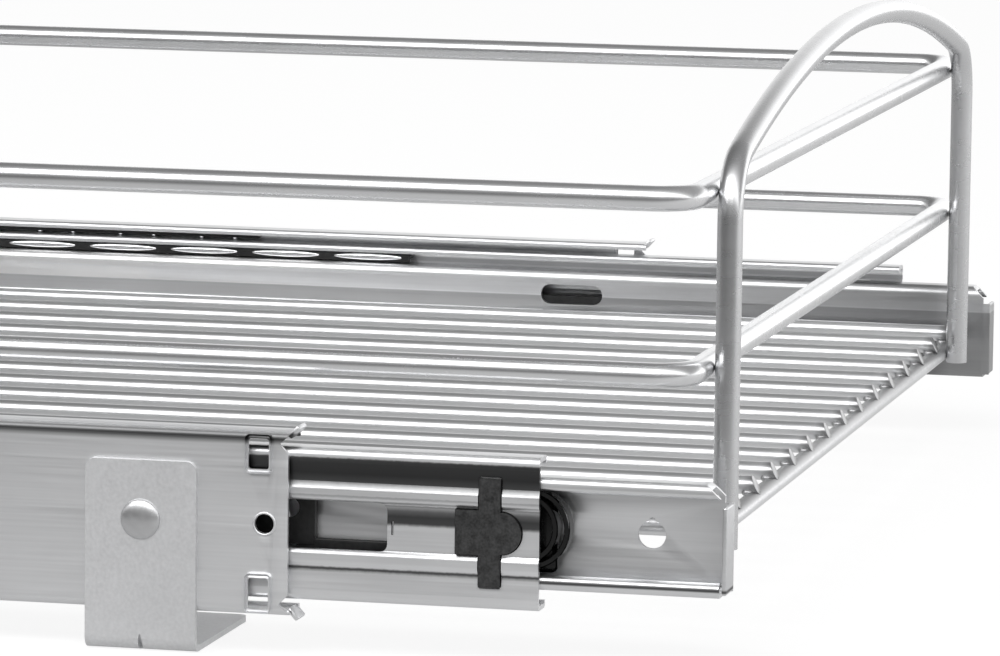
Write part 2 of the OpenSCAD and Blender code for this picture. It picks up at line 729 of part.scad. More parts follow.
front_hoop();
rear_hoop();
upper_ring();
lower_ring();
floor_wires();
front_rod();
rear_rod();
left_drawer_member();
right_drawer_member();
left_release_lever();
right_release_lever();
lever_rivets();
left_middle_member();
right_middle_member();
left_front_stop();
right_front_stop();
left_bumper();
right_bumper();
left_outer_retainer();
right_outer_retainer();
left_inner_retainer();
right_inner_retainer();
left_outer_balls();
right_outer_balls();
left_inner_balls();
right_inner_balls();
left_cabinet_member();
right_cabinet_member();
left_front_foot();
right_front_foot();
left_rear_foot();
right_rear_foot();
foot_rivets();
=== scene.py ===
from math import atan2, ceil, cos, degrees, pi, radians, sin, sqrt, tan

import bpy
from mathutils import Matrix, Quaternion, Vector


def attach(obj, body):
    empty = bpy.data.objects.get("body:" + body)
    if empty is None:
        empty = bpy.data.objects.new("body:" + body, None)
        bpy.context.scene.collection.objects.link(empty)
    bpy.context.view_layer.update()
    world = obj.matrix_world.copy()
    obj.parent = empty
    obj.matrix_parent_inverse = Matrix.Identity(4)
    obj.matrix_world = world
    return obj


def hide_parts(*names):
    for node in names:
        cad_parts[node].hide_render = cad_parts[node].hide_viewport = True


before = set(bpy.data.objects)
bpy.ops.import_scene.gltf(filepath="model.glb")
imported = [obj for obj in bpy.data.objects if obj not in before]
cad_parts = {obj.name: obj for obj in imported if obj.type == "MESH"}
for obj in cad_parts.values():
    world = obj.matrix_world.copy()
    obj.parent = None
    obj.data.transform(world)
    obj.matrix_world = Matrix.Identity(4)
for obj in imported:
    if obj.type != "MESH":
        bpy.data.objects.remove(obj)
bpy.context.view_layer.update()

# The camera
# A long lens from the left, a little in front of the basket and above it, at the
# photograph's viewing angle. The numbers come from the straight wires.
camera_data = bpy.data.cameras.new("photo_camera")
camera_data.sensor_width = 36
camera_data.lens = 229.96
camera_data.shift_x = -0.00069
camera_data.shift_y = 0.00159
camera_data.clip_start = 0.05
camera_data.clip_end = 80
camera = bpy.data.objects.new("photo_camera", camera_data)
bpy.context.scene.collection.objects.link(camera)
bpy.context.scene.camera = camera
bpy.context.scene.view_settings.view_transform = "Standard"
look_yaw = radians(12.89)
look_pitch = radians(-7.28)
look_roll = radians(0.72)
look = Vector((cos(look_pitch) * cos(look_yaw), cos(look_pitch) * sin(look_yaw), sin(look_pitch)))
camera.location = (-1.71894, -0.56633, 0.28011)
camera.rotation_mode = "QUATERNION"
camera.rotation_quaternion = look.to_track_quat("-Z", "Y") @ Quaternion((0, 0, 1), look_roll)

# Cabinet members
# The fixed outer member of each slide: bright zinc plated steel sheet rolled
# into a channel, with curled flange ends that hold the outer balls, and two
# lanced windows, a hole and flared ears in front. It is riveted to the feet.
SIDE = -0.2192              # outer face of the left slide
SLIDE_Z = 0.033             # height of the slide centre
SLIDE_LEN = 0.45
CABINET_Y = -0.17075        # front end of both cabinet members
sheet = 0.0012
half_cabinet = 0.02285
cabinet_flange = 0.0090     # from the outer face to the middle of the curled end
cabinet_curl = 0.0013
web_bend = 0.0018
curl_bend = 0.0006
web_back = 0.0007           # the web stands this far behind the flange ends
beyond = 0.001              # how far a cutter reaches past a face
through = 0.002             # half the reach of a cutter through the web
hole_cutter = 0.006         # length of a bar that cuts a round hole
lance_y = CABINET_Y + 0.0081
lance_rise = 0.0174
lance_half = (0.0029, 0.00405)
lance_round = 0.0007
rim_half = (0.0034, 0.0049)
rim_window_half = (0.0026, 0.0038)
rim_proud = 0.00045
rim_sunk = 0.0004
notch_rise = 0.0199
notch_half = (0.0021, 0.0021)
ear_front = CABINET_Y - 0.0026
ear_back = CABINET_Y + 0.0010
ear_outer = SIDE + 0.0024
ear_inner = SIDE + 0.0094
ear_angle = 48
hole_y = CABINET_Y + 0.00665
hole_r = 0.00245
hole_rim_r = 0.0027
rolled_grain = (0.0008, 0.05, 0.0008)


def alone(piece):
    """Leaves one piece selected and active."""
    bpy.ops.object.select_all(action="DESELECT")
    piece.select_set(True)
    bpy.context.view_layer.objects.active = piece


def into_edit(piece):
    alone(piece)
    bpy.ops.object.mode_set(mode="EDIT")


def out_of_edit():
    bpy.ops.object.mode_set(mode="OBJECT")


def settle(piece, name):
    """Puts the place of a new piece into its mesh and names it."""
    alone(piece)
    bpy.ops.object.transform_apply(location=True, rotation=True, scale=True)
    piece.name = name
    piece.data.name = name
    return piece


def pull_along(way, place, heading, across):
    """Pulls the selection along runs, (length,), and bends, (radius, degrees), about across."""
    widest_turn = 11        # degrees in one step of a bend
    longest_chord = 0.008
    for step in way:
        if len(step) == 1:
            if step[0] > 1e-7:
                bpy.ops.mesh.extrude_region_move(TRANSFORM_OT_translate={"value": heading * step[0]})
                place = place + heading * step[0]
            continue
        radius, turn = step[0], radians(step[1])
        centre = place + across.cross(heading) * radius * (1 if turn > 0 else -1)
        count = max(ceil(abs(step[1]) / widest_turn), ceil(abs(turn) * radius / longest_chord))
        # Without a window, spin turns the other way.
        bpy.ops.mesh.spin(steps=count, angle=-turn, center=centre, axis=across)
        turned = Quaternion(across, turn)
        place = centre + turned @ (place - centre)
        heading = turned @ heading


def rounded_way(corners):
    """The runs and bends through corners, (depth, height, radius), with the start heading."""
    way = []
    cut = 0.0
    first = None
    for i in range(len(corners) - 1):
        run = Vector(corners[i + 1][:2]) - Vector(corners[i][:2])
        if first is None:
            first = run.normalized()
        next_cut, bend = 0.0, None
        if i + 2 < len(corners):
            after = Vector(corners[i + 2][:2]) - Vector(corners[i + 1][:2])
            turn = -(atan2(after.y, after.x) - atan2(run.y, run.x))
            turn = (turn + pi) % (2 * pi) - pi
            next_cut = corners[i + 1][2] * abs(tan(turn / 2))
            bend = (corners[i + 1][2], degrees(turn))
        way.append((run.length - cut - next_cut,))
        if bend:
            way.append(bend)
        cut = next_cut
    return way, first


def make_closed(piece):
    """Merges the seams of a piece and turns its faces outwards."""
    into_edit(piece)
    bpy.ops.mesh.select_all(action="SELECT")
    bpy.ops.mesh.remove_doubles(threshold=0.000002)
    bpy.ops.mesh.normals_make_consistent(inside=False)
    out_of_edit()


def rolled_sheet(name, corners, front, length, thick):
    """A sheet part: the middle line of its section on the left slide, pulled back along Y."""
    way, first = rounded_way(corners)
    start = Vector((SIDE + corners[0][0], front, SLIDE_Z + corners[0][1]))
    bpy.ops.object.select_all(action="DESELECT")
    bpy.ops.mesh.primitive_plane_add(size=0.001, location=start)
    piece = settle(bpy.context.object, name)
    into_edit(piece)
    bpy.ops.mesh.select_all(action="SELECT")
    bpy.ops.mesh.merge(type="CENTER")
    pull_along(way, start, Vector((first.x, 0, first.y)), Vector((0, 1, 0)))
    bpy.ops.mesh.select_all(action="SELECT")
    bpy.ops.mesh.extrude_region_move(TRANSFORM_OT_translate={"value": (0, length, 0)})
    out_of_edit()
    thicken = piece.modifiers.new("thickness", "SOLIDIFY")
    thicken.thickness = thick
    thicken.offset = 0
    thicken.use_even_offset = True
    bpy.ops.object.modifier_apply(modifier="thickness")
    make_closed(piece)
    return piece


def block(low, high, rounding=0.0):
    """A block between two corners, its edges rounded if asked."""
    low, high = Vector(low), Vector(high)
    bpy.ops.object.select_all(action="DESELECT")
    bpy.ops.mesh.primitive_cube_add(size=1, location=(low + high) / 2, scale=high - low)
    piece = settle(bpy.context.object, "block")
    if rounding:
        into_edit(piece)
        bpy.ops.mesh.select_all(action="SELECT")
        bpy.ops.mesh.bevel(offset=rounding, segments=5, affect="EDGES")
        out_of_edit()
    return piece


def block_at(inner, outer, centre, half, rounding=0.0):
    """A block between two depths from SIDE, about a centre (y, z) with its half sizes."""
    return block((SIDE + inner, centre[0] - half[0], centre[1] - half[1]),
        (SIDE + outer, centre[0] + half[0], centre[1] + half[1]), rounding)


def tilted_block(low, high, pivot, turn):
    """A block turned by an angle about the X line through a pivot (y, z)."""
    low, high, pivot = Vector(low), Vector(high), Vector((0, *pivot))
    spin = Quaternion((1, 0, 0), radians(turn))
    bpy.ops.object.select_all(action="DESELECT")
    bpy.ops.mesh.primitive_cube_add(size=1, location=pivot + spin @ ((low + high) / 2 - pivot),
        rotation=(radians(turn), 0, 0), scale=high - low)
    return settle(bpy.context.object, "tilted_block")


def round_bar(centre, radius, length, about=0, sides=40, name="round_bar"):
    """A round bar along X, Y or Z."""
    turn = [(0, pi / 2, 0), (pi / 2, 0, 0), (0, 0, 0)][about]
    bpy.ops.object.select_all(action="DESELECT")
    bpy.ops.mesh.primitive_cylinder_add(vertices=sides, radius=radius, depth=length,
        location=centre, rotation=turn)
    return settle(bpy.context.object, name)


def shape_with(piece, tool, how="DIFFERENCE"):
    """Cuts a tool out of a piece, or adds it to the piece."""
    alone(piece)
    cut = piece.modifiers.new("cut", "BOOLEAN")
    cut.operation = how
    cut.solver = "EXACT"
    cut.object = tool
    bpy.ops.object.modifier_apply(modifier="cut")
    bpy.data.objects.remove(tool)


def soften(piece, width, angle=30, segments=2):
    """Breaks the sharp edges of a finished piece and shades it."""
    alone(piece)
    edge = piece.modifiers.new("edge", "BEVEL")
    edge.width = width
    edge.segments = segments
    edge.limit_method = "ANGLE"
    edge.angle_limit = radians(angle)
    bpy.ops.object.modifier_apply(modifier="edge")
    bpy.ops.object.shade_smooth_by_angle(angle=radians(angle))


def joined(pieces, name):
    """Makes one piece of several."""
    bpy.ops.object.select_all(action="DESELECT")
    for piece in pieces:
        piece.select_set(True)
    bpy.context.view_layer.objects.active = pieces[0]
    bpy.ops.object.join()
    pieces[0].name = name
    pieces[0].data.name = name
    return pieces[0]


def copy_of(piece, name, back=0.0, mirror=False):
    """A copy with its own mesh, moved back along Y and mirrored to the right side if asked."""
    twin = piece.copy()
    twin.data = piece.data.copy()
    bpy.context.scene.collection.objects.link(twin)
    if mirror:
        twin.scale = (-1, 1, 1)
    twin.location = (0, back, 0)
    settle(twin, name)
    if mirror:
        into_edit(twin)
        bpy.ops.mesh.select_all(action="SELECT")
        bpy.ops.mesh.normals_make_consistent(inside=False)
        out_of_edit()
    return twin


def dress(piece, finish, body, slot, *nodes):
    """Gives a piece its finish, its body and the nodes that it stands for. The slot is not used."""
    piece.data.materials.clear()
    piece.data.materials.append(finish)
    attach(piece, body)
    if nodes:
        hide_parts(*nodes)


def noise_of(tree, place, scale, detail=2):
    """A cloudy value from about 0.3 to 0.7, in lumps of 1 / scale metres."""
    noise = tree.nodes.new("ShaderNodeTexNoise")
    noise.inputs["Scale"].default_value = scale
    noise.inputs["Detail"].default_value = detail
    tree.links.new(place, noise.inputs["Vector"])
    return noise.outputs["Fac"]


def passage(tree, source, start, end, low=0.0, high=1.0, way="LINEAR"):
    """A value that goes from low to high while its source goes from start to end."""
    change = tree.nodes.new("ShaderNodeMapRange")
    change.interpolation_type = way
    change.inputs["From Min"].default_value = start
    change.inputs["From Max"].default_value = end
    change.inputs["To Min"].default_value = low
    change.inputs["To Max"].default_value = high
    tree.links.new(source, change.inputs["Value"])
    return change.outputs["Result"]


def times(tree, one, two):
    """The product of a value and a value or number."""
    product = tree.nodes.new("ShaderNodeMath")
    product.operation = "MULTIPLY"
    tree.links.new(one, product.inputs[0])
    if isinstance(two, float):
        product.inputs[1].default_value = two
    else:
        tree.links.new(two, product.inputs[1])
    return product.outputs[0]


def plus(tree, one, two):
    """The sum of two values."""
    total = tree.nodes.new("ShaderNodeMath")
    total.operation = "ADD"
    tree.links.new(one, total.inputs[0])
    tree.links.new(two, total.inputs[1])
    return total.outputs[0]


def fill_ramp(ramp, stops):
    """Gives a colour ramp its stops, (place from 0 to 1, shade)."""
    marks = ramp.color_ramp.elements
    for i, (place, shade) in enumerate(stops):
        mark = marks[i] if i < 2 else marks.new(place)
        mark.position = place
        mark.color = (shade, shade, shade, 1)


def grained_finish(name, dark, light, grain, rough, relief, metallic=1.0, fine=0.0004, lumps=0.03,
        specular=0.5):
    """A finish whose shade, gloss and relief follow a stretched grain and a finer one."""
    finish = bpy.data.materials.new(name)
    finish.use_nodes = True
    tree = finish.node_tree
    shader = tree.nodes["Principled BSDF"]
    shader.inputs["Metallic"].default_value = metallic
    shader.inputs["Specular IOR Level"].default_value = specular
    place = tree.nodes.new("ShaderNodeTexCoord").outputs["Object"]
    lay = tree.nodes.new("ShaderNodeMapping")
    lay.inputs["Scale"].default_value = [1 / g for g in grain]
    tree.links.new(place, lay.inputs["Vector"])
    streak = noise_of(tree, lay.outputs["Vector"], 1, 5)
    cloud = noise_of(tree, place, 1 / lumps, 3)
    shade = passage(tree, plus(tree, streak, cloud), 0.7, 1.3, dark, light)
    tone = tree.nodes.new("ShaderNodeCombineColor")
    # A trace of blue, as on real plating.
    for channel, part in (("Red", 0.995), ("Green", 1.0), ("Blue", 1.012)):
        tree.links.new(times(tree, shade, part), tone.inputs[channel])
    tree.links.new(tone.outputs["Color"], shader.inputs["Base Color"])
    gloss = passage(tree, streak, 0.3, 0.7, rough[0], rough[1])
    tree.links.new(gloss, shader.inputs["Roughness"])
    bump = tree.nodes.new("ShaderNodeBump")
    bump.inputs["Strength"].default_value = 1
    bump.inputs["Distance"].default_value = relief
    tree.links.new(noise_of(tree, place, 1 / fine), bump.inputs["Height"])
    tree.links.new(bump.outputs["Normal"], shader.inputs["Normal"])
    return finish


def paint_light_and_shade(finish, steps, speckle=0.0, axis="Z", centre=SLIDE_Z, half=25):
    """Paints light and shade into a finish along an axis, steps of (mm from the centre, share of its
    shade).
    """
    speckle_scale = 700
    tree = finish.node_tree
    shader = tree.nodes["Principled BSDF"]
    place = tree.nodes.new("ShaderNodeTexCoord").outputs["Object"]
    split = tree.nodes.new("ShaderNodeSeparateXYZ")
    tree.links.new(place, split.inputs["Vector"])
    # Speckles break up the borders of the steps.
    stir = tree.nodes.new("ShaderNodeMath")
    stir.operation = "MULTIPLY_ADD"
    stir.inputs[1].default_value = speckle
    tree.links.new(noise_of(tree, place, speckle_scale), stir.inputs[0])
    tree.links.new(split.outputs[axis], stir.inputs[2])
    level = passage(tree, stir.outputs[0], centre - half / 1000 + speckle / 2,
        centre + half / 1000 + speckle / 2)
    ramp = tree.nodes.new("ShaderNodeValToRGB")
    fill_ramp(ramp, [((height + half) / (2 * half), share) for height, share in steps])
    tree.links.new(level, ramp.inputs["Fac"])
    mixed = tree.nodes.new("ShaderNodeMix")
    mixed.data_type = "RGBA"
    mixed.blend_type = "MULTIPLY"
    mixed.inputs[0].default_value = 1
    # Sockets 6, 7 and 2 are the ones for colours.
    plain, shaded, product = mixed.inputs[6], mixed.inputs[7], mixed.outputs[2]
    tree.links.new(shader.inputs["Base Color"].links[0].from_socket, plain)
    tree.links.new(ramp.outputs["Color"], shaded)
    tree.links.new(product, shader.inputs["Base Color"])


# Painted shade: the web of the near one is painted a little darker towards its top and has a painted
# dark shadow line under its top bend.
near_cabinet_painted_shade = grained_finish("near_cabinet_painted_shade", 0.8, 0.88, rolled_grain, (0.38, 0.46), 0.000002)
paint_light_and_shade(near_cabinet_painted_shade, [(-22.9, 1), (-21.2, 1), (-20.6, 1), (0, 0.98), (17, 0.95),
    (19.4, 0.9), (20.2, 0.55), (20.7, 0.22), (21.1, 0.07), (21.5, 0.1), (22.2, 0.25),
    (22.5, 0.9), (23, 1)])
# Painted shade: the far one has a painted dark line under its top bend.
far_cabinet_painted_shade = grained_finish("far_cabinet_painted_shade", 0.78, 0.86, rolled_grain, (0.36, 0.42),
    0.000002)
paint_light_and_shade(far_cabinet_painted_shade, [(-23, 1), (16.8, 1), (17.3, 0.12), (18.3, 0.12), (18.7, 1), (23, 1)])

flange_mid = half_cabinet - sheet / 2
cabinet_corners = [
    (cabinet_flange, -flange_mid + cabinet_curl, 0), (cabinet_flange, -flange_mid, curl_bend),
    (sheet / 2, -flange_mid, web_bend), (sheet / 2, flange_mid, web_bend),
    (cabinet_flange, flange_mid, curl_bend), (cabinet_flange, flange_mid - cabinet_curl, 0)]
left_cabinet = rolled_sheet("left_cabinet_sheet", cabinet_corners, CABINET_Y, SLIDE_LEN, sheet)
shape_with(left_cabinet, block((SIDE - beyond, CABINET_Y - beyond, SLIDE_Z - half_cabinet - beyond),
    (SIDE + sheet + beyond, CABINET_Y + web_back, SLIDE_Z + half_cabinet + beyond)))
trims = []
for up in (1, -1):
    window = (lance_y, SLIDE_Z + up * lance_rise)
    shape_with(left_cabinet, block_at(-through, through, window, lance_half, lance_round))
    # A pressed rim round the window.
    rim = block_at(-rim_proud, rim_sunk, window, rim_half, 0.0012)
    shape_with(rim, block_at(-through, through, window, rim_window_half, lance_round))
    soften(rim, 0.0003, 40, 3)
    trims.append(rim)
    # The corner notch, a wedge that opens to the front.
    wedge = (CABINET_Y, SLIDE_Z + up * notch_rise)
    notch = block_at(-beyond, 2 * sheet, wedge, notch_half)
    into_edit(notch)
    bpy.ops.mesh.select_all(action="SELECT")
    bpy.ops.transform.rotate(value=radians(45), orient_axis="X", center_override=(SIDE, *wedge))
    out_of_edit()
    shape_with(left_cabinet, notch)
    # The flared ear, a short torn leaf of the flange.
    ear_z = SLIDE_Z + up * half_cabinet
    under_z = ear_z - up * sheet
    ear = tilted_block((ear_outer, ear_front, min(ear_z, under_z)),
        (ear_inner, ear_back, max(ear_z, under_z)), (CABINET_Y, under_z), -ear_angle * up)
    soften(ear, 0.0004, 40)
    trims.append(ear)
shape_with(left_cabinet, round_bar((SIDE, hole_y, SLIDE_Z), hole_r, hole_cutter))
bpy.ops.object.select_all(action="DESELECT")
bpy.ops.mesh.primitive_torus_add(location=(SIDE, hole_y, SLIDE_Z), rotation=(0, pi / 2, 0),
    major_segments=32, minor_segments=8, major_radius=hole_rim_r, minor_radius=0.0003)
trims.append(settle(bpy.context.object, "hole_rim"))
bpy.ops.object.shade_smooth()
soften(left_cabinet, 0.00015)
left_cabinet = joined([left_cabinet] + trims, "left_cabinet_sheet")
dress(left_cabinet, near_cabinet_painted_shade, "cabinet_side", "slide_steel", "left_cabinet_member")
right_cabinet = copy_of(left_cabinet, "right_cabinet_sheet", mirror=True)
dress(right_cabinet, far_cabinet_painted_shade, "cabinet_side", "slide_steel", "right_cabinet_member")

# Middle members
# The travelling member of each slide, a channel rolled from the same sheet,
# with a pressed middle band and a long window. It is darker on the shoulders
# where the balls run, with painted shade in the hollow of the pressed band and
# painted dark lines at its edges. It slides between the cabinet and the drawer member.
LEFT_MIDDLE_Y = -0.23275
RIGHT_MIDDLE_Y = -0.25045
right_shift = RIGHT_MIDDLE_Y - LEFT_MIDDLE_Y
middle_flange = 0.01895 - sheet / 2
middle_curl = 0.0013
middle_depth = 0.007        # a cutter from SIDE goes through the web to this depth
band_bend = 0.0008
window_start = LEFT_MIDDLE_Y + 0.0382
window_end = LEFT_MIDDLE_Y + 0.1882
window_half = 0.0061
slit_y = LEFT_MIDDLE_Y + 0.0369
slit_half = (0.0003, 0.0017)
nose_y = LEFT_MIDDLE_Y + 0.0096
nose_r = 0.0055
# Painted shade: darker shoulders, a painted dark hollow in the pressed band and painted dark lines
# at its edges.
near_middle_painted_shade = grained_finish("near_middle_painted_shade", 0.8, 0.88, rolled_grain, (0.36, 0.42), 0.000003)
paint_light_and_shade(near_middle_painted_shade, [(-19, 1), (-18.2, 1), (-11.7, 1), (-11.2, 0.6), (-10.9, 0.14),
    (-10.5, 0.14), (-10.1, 1), (-6.9, 1), (-6.5, 0.5), (-6.2, 0.9), (-4.2, 1), (0.5, 1),
    (0.9, 0.45), (1.3, 0.13), (3.0, 0.1), (4.4, 0.25), (5.3, 0.6), (5.6, 0.3), (5.9, 1),
    (6.3, 0.5), (6.7, 1), (7.5, 0.6), (7.8, 1), (8.9, 1), (9.8, 0.35), (10.8, 0.12),
    (13, 0.06), (15.6, 0.075), (16.7, 0.13), (17.0, 1)], 0.0003)
# Painted light and shade: the far one has painted bright and dark lines along the inside of its
# upper half.
far_middle_painted_light = grained_finish("far_middle_painted_light", 0.8, 0.88, rolled_grain, (0.34, 0.4),
    0.000002)
paint_light_and_shade(far_middle_painted_light, [(-19, 1), (8, 1), (9, 0.3), (12.6, 0.1), (13.1, 1.15),
    (14.1, 1.15), (14.5, 0.75), (15.5, 0.75), (15.8, 1.2), (16.6, 1.2), (17, 0.9)])
half_section = [(0.0035, 0.0060, band_bend), (0.0027, 0.0071, band_bend),
    (0.0027, 0.0090, band_bend), (0.0036, 0.0108, band_bend), (0.0029, 0.0160, 0.0012),
    (0.0031, middle_flange, 0.0012), (0.0098, middle_flange, curl_bend),
    (0.0098, middle_flange - middle_curl, 0)]
middle_corners = [(s, -z, r) for s, z, r in reversed(half_section)] + half_section
left_middle = rolled_sheet("left_middle_sheet", middle_corners, LEFT_MIDDLE_Y, SLIDE_LEN, sheet)
shape_with(left_middle, block((SIDE, window_start, SLIDE_Z - window_half),
    (SIDE + middle_depth, window_end, SLIDE_Z + window_half), 0.002))
shape_with(left_middle, block_at(0, middle_depth, (slit_y, SLIDE_Z), slit_half))
# The cut-out that the cross shaped stop is clipped into: a bar, a square and a nose.
for front, back, half, rounding in ((0.0093, 0.0153, 0.0138, 0.0008),
        (0.0096, 0.0212, 0.0058, 0.0006)):
    shape_with(left_middle, block((SIDE, LEFT_MIDDLE_Y + front, SLIDE_Z - half),
        (SIDE + middle_depth, LEFT_MIDDLE_Y + back, SLIDE_Z + half), rounding))
shape_with(left_middle, round_bar((SIDE + middle_depth / 2, nose_y, SLIDE_Z), nose_r,
    middle_depth))
soften(left_middle, 0.00012, 30, 1)
dress(left_middle, near_middle_painted_shade, "left_middle", "slide_steel", "left_middle_member")
right_middle = copy_of(left_middle, "right_middle_sheet", right_shift, True)
dress(right_middle, far_middle_painted_light, "right_middle", "slide_steel", "right_middle_member")

# Drawer members
# The inner member of each slide, rolled from the same sheet and open to the
# outside, with curled rims at the flanges, a round hole and a turned end tab.
# The basket is welded to it.
DRAWER_Y = -0.27715
drawer_flange = 0.01395 - sheet / 2
drawer_web = 0.0121         # from the outer face to the middle of the web
drawer_rim = 0.0052         # from the outer face to the middle of the rims
rim_curl = 0.0020
rim_end = 0.0064            # from the outer face to the middle of the rims' edges
rim_end_curl = 0.0026
rim_bend = 0.0007
flange_bend = 0.0009
tab_front = DRAWER_Y - 0.0021
tab_low = SLIDE_Z - 0.0129
tab_high = SLIDE_Z + 0.0088
chamfer_z = SLIDE_Z + 0.01055
drawer_hole_y = DRAWER_Y + 0.0181
oblong = (DRAWER_Y + 0.129, SLIDE_Z + 0.0066)
oblong_half = (0.00985, 0.0032)
oblong_round = 0.0031
# Painted shade: a dark line near the bottom bend of the near drawer member.
near_drawer_painted_shade = grained_finish("near_drawer_painted_shade", 0.76, 0.84, rolled_grain, (0.33, 0.4), 0.000002)
paint_light_and_shade(near_drawer_painted_shade, [(-14, 1), (-12.5, 1), (-12.2, 0.15), (-11.8, 0.15), (-11.4, 0.9),
    (11.2, 0.95), (11.5, 1), (14, 1)])
# Painted light and shade: the far web is painted darker in its lower part and towards its front end,
# with painted bright lines higher up.
far_drawer_painted_light = grained_finish("far_drawer_painted_light", 0.88, 0.96, rolled_grain, (0.3, 0.36), 0.000002)
paint_light_and_shade(far_drawer_painted_light, [(-14, 0.62), (6.0, 0.62), (6.3, 1.15), (6.6, 1), (11.2, 1), (11.5, 1.1),
    (14, 1.1)])
paint_light_and_shade(far_drawer_painted_light, [(-275, 0.62), (-267, 0.6), (-262, 0.42), (-250, 0.44), (-170, 0.74),
    (-90, 0.95), (0, 1.1)], axis="Y", centre=0, half=300)
drawer_corners = [
    (rim_end, -drawer_flange + rim_end_curl, 0),
    (drawer_rim, -drawer_flange + rim_curl, rim_bend), (drawer_rim, -drawer_flange, flange_bend),
    (drawer_web, -drawer_flange, web_bend), (drawer_web, drawer_flange, web_bend),
    (drawer_rim, drawer_flange, flange_bend), (drawer_rim, drawer_flange - rim_curl, rim_bend),
    (rim_end, drawer_flange - rim_end_curl, 0)]
left_drawer = rolled_sheet("left_drawer_sheet", drawer_corners, DRAWER_Y, SLIDE_LEN, sheet)
# The chamfered top corner, the turned end tab in two parts and the oblong hole.
shape_with(left_drawer, tilted_block((SIDE, DRAWER_Y - 0.003, chamfer_z),
    (SIDE + 0.014, DRAWER_Y + 0.008, SLIDE_Z + 0.0165), (DRAWER_Y, chamfer_z), 45))
shape_with(left_drawer, block((SIDE + 0.0115, tab_front, tab_low),
    (SIDE + 0.0127, DRAWER_Y + 0.0004, tab_high)), "UNION")
shape_with(left_drawer, block((SIDE + 0.0035, tab_front, tab_low),
    (SIDE + drawer_web, tab_front + sheet, tab_high), 0.0005), "UNION")
shape_with(left_drawer, block_at(0.0095, 0.015, oblong, oblong_half, oblong_round))
right_drawer = copy_of(left_drawer, "right_drawer_sheet", mirror=True)
# The left one alone has the round hole, with a small nib hole over it.
for lift, radius in ((0.0001, 0.0035), (0.0036, 0.0008)):
    shape_with(left_drawer, round_bar((SIDE + drawer_web, drawer_hole_y, SLIDE_Z + lift),
        radius, hole_cutter))
for drawer, finish, side in ((left_drawer, near_drawer_painted_shade, "left"), (right_drawer, far_drawer_painted_light, "right")):
    soften(drawer, 0.00012)
    dress(drawer, finish, "basket", "slide_steel", side + "_drawer_member")

# Hoops
# Round steel wire with a satin chrome finish, bent to a shallow arch between
# two upright legs that are cut off square below the floor.
WIRE_R = 0.003175
FRONT_HOOP_Y = -0.27265
REAR_HOOP_Y = 0.16335
LEG_X = 0.184
leg_foot = 0.0266
leg_top = 0.1086            # where the bend starts
leg_length = leg_top - leg_foot
hoop_bend = 0.016
arch_radius = 0.7316
arch_run = LEG_X - hoop_bend
arch_side = degrees(atan2(arch_run, sqrt((arch_radius - hoop_bend) ** 2 - arch_run ** 2)))
wire_grain = (0.004, 0.02, 0.004)
# Painted shade: the hoops get a darker copy of the chrome than the rings.
hoop_chrome_painted_darker = grained_finish("hoop_chrome_painted_darker", 0.66, 0.69, wire_grain, (0.26, 0.29), 0.0000005)


def start_wire(name, place, radius, turn=(0, 0, 0)):
    """The open round of a wire, selected and ready to be pulled."""
    bpy.ops.object.select_all(action="DESELECT")
    bpy.ops.mesh.primitive_circle_add(vertices=32, radius=radius, location=place, rotation=turn)
    piece = settle(bpy.context.object, name)
    into_edit(piece)
    bpy.ops.mesh.select_all(action="SELECT")
    return piece


def cap_end():
    """Closes the selected round with a face whose edge is slightly broken."""
    bpy.ops.mesh.edge_face_add()
    bpy.ops.mesh.inset(thickness=0.0006)
    bpy.ops.transform.translate(value=(0, 0, -0.0001))


def bent_hoop(name, y):
    foot = Vector((-LEG_X, y, leg_foot))
    piece = start_wire(name, foot, WIRE_R)
    cap_end()
    bpy.ops.mesh.select_all(action="DESELECT")
    out_of_edit()
    for edge in piece.data.edges:
        ends = [piece.data.vertices[i].co for i in edge.vertices]
        edge.select = all((end - foot).length > 0.98 * WIRE_R for end in ends)
    bpy.ops.object.mode_set(mode="EDIT")
    bpy.ops.mesh.select_mode(type="EDGE")
    bpy.ops.mesh.select_mode(type="VERT")
    pull_along([(leg_length,), (hoop_bend, 90 - arch_side), (arch_radius, 2 * arch_side),
        (hoop_bend, 90 - arch_side), (leg_length,)], foot, Vector((0, 0, 1)), Vector((0, 1, 0)))
    cap_end()
    out_of_edit()
    make_closed(piece)
    alone(piece)
    bpy.ops.object.shade_smooth_by_angle(angle=radians(50))
    return piece


front_hoop = bent_hoop("front_hoop_wire", FRONT_HOOP_Y)
dress(front_hoop, hoop_chrome_painted_darker, "basket", "wire", "front_hoop")
rear_hoop = copy_of(front_hoop, "rear_hoop_wire", REAR_HOOP_Y - FRONT_HOOP_Y)
dress(rear_hoop, hoop_chrome_painted_darker, "basket", "wire", "rear_hoop")

# Rings
# Two closed rings of the same wire, bent round between the hoops and welded to
# the inside of their legs.
RAIL_X = 0.2035
ring_bend = 0.010
ring_front = FRONT_HOOP_Y + 2 * WIRE_R
ring_back = REAR_HOOP_Y - 2 * WIRE_R
ring_chrome = grained_finish("ring_chrome", 0.78, 0.84, wire_grain, (0.25, 0.28), 0.0000005)


def bent_ring(name, z):
    start = Vector((0, ring_front, z))
    piece = start_wire(name, start, WIRE_R, (0, pi / 2, 0))
    side = (ring_back - ring_front - 2 * ring_bend,)
    half_end = (RAIL_X - ring_bend,)
    corner = (ring_bend, 90)
    pull_along([half_end, corner, side, corner, half_end, half_end, corner, side, corner, half_end],
        start, Vector((1, 0, 0)), Vector((0, 0, 1)))
    out_of_edit()
    make_closed(piece)
    alone(piece)
    bpy.ops.object.shade_smooth()
    return piece


for ring, z in (("upper_ring", 0.1152), ("lower_ring", 0.0717)):
    dress(bent_ring(ring + "_wire", z), ring_chrome, "basket", "wire", ring)

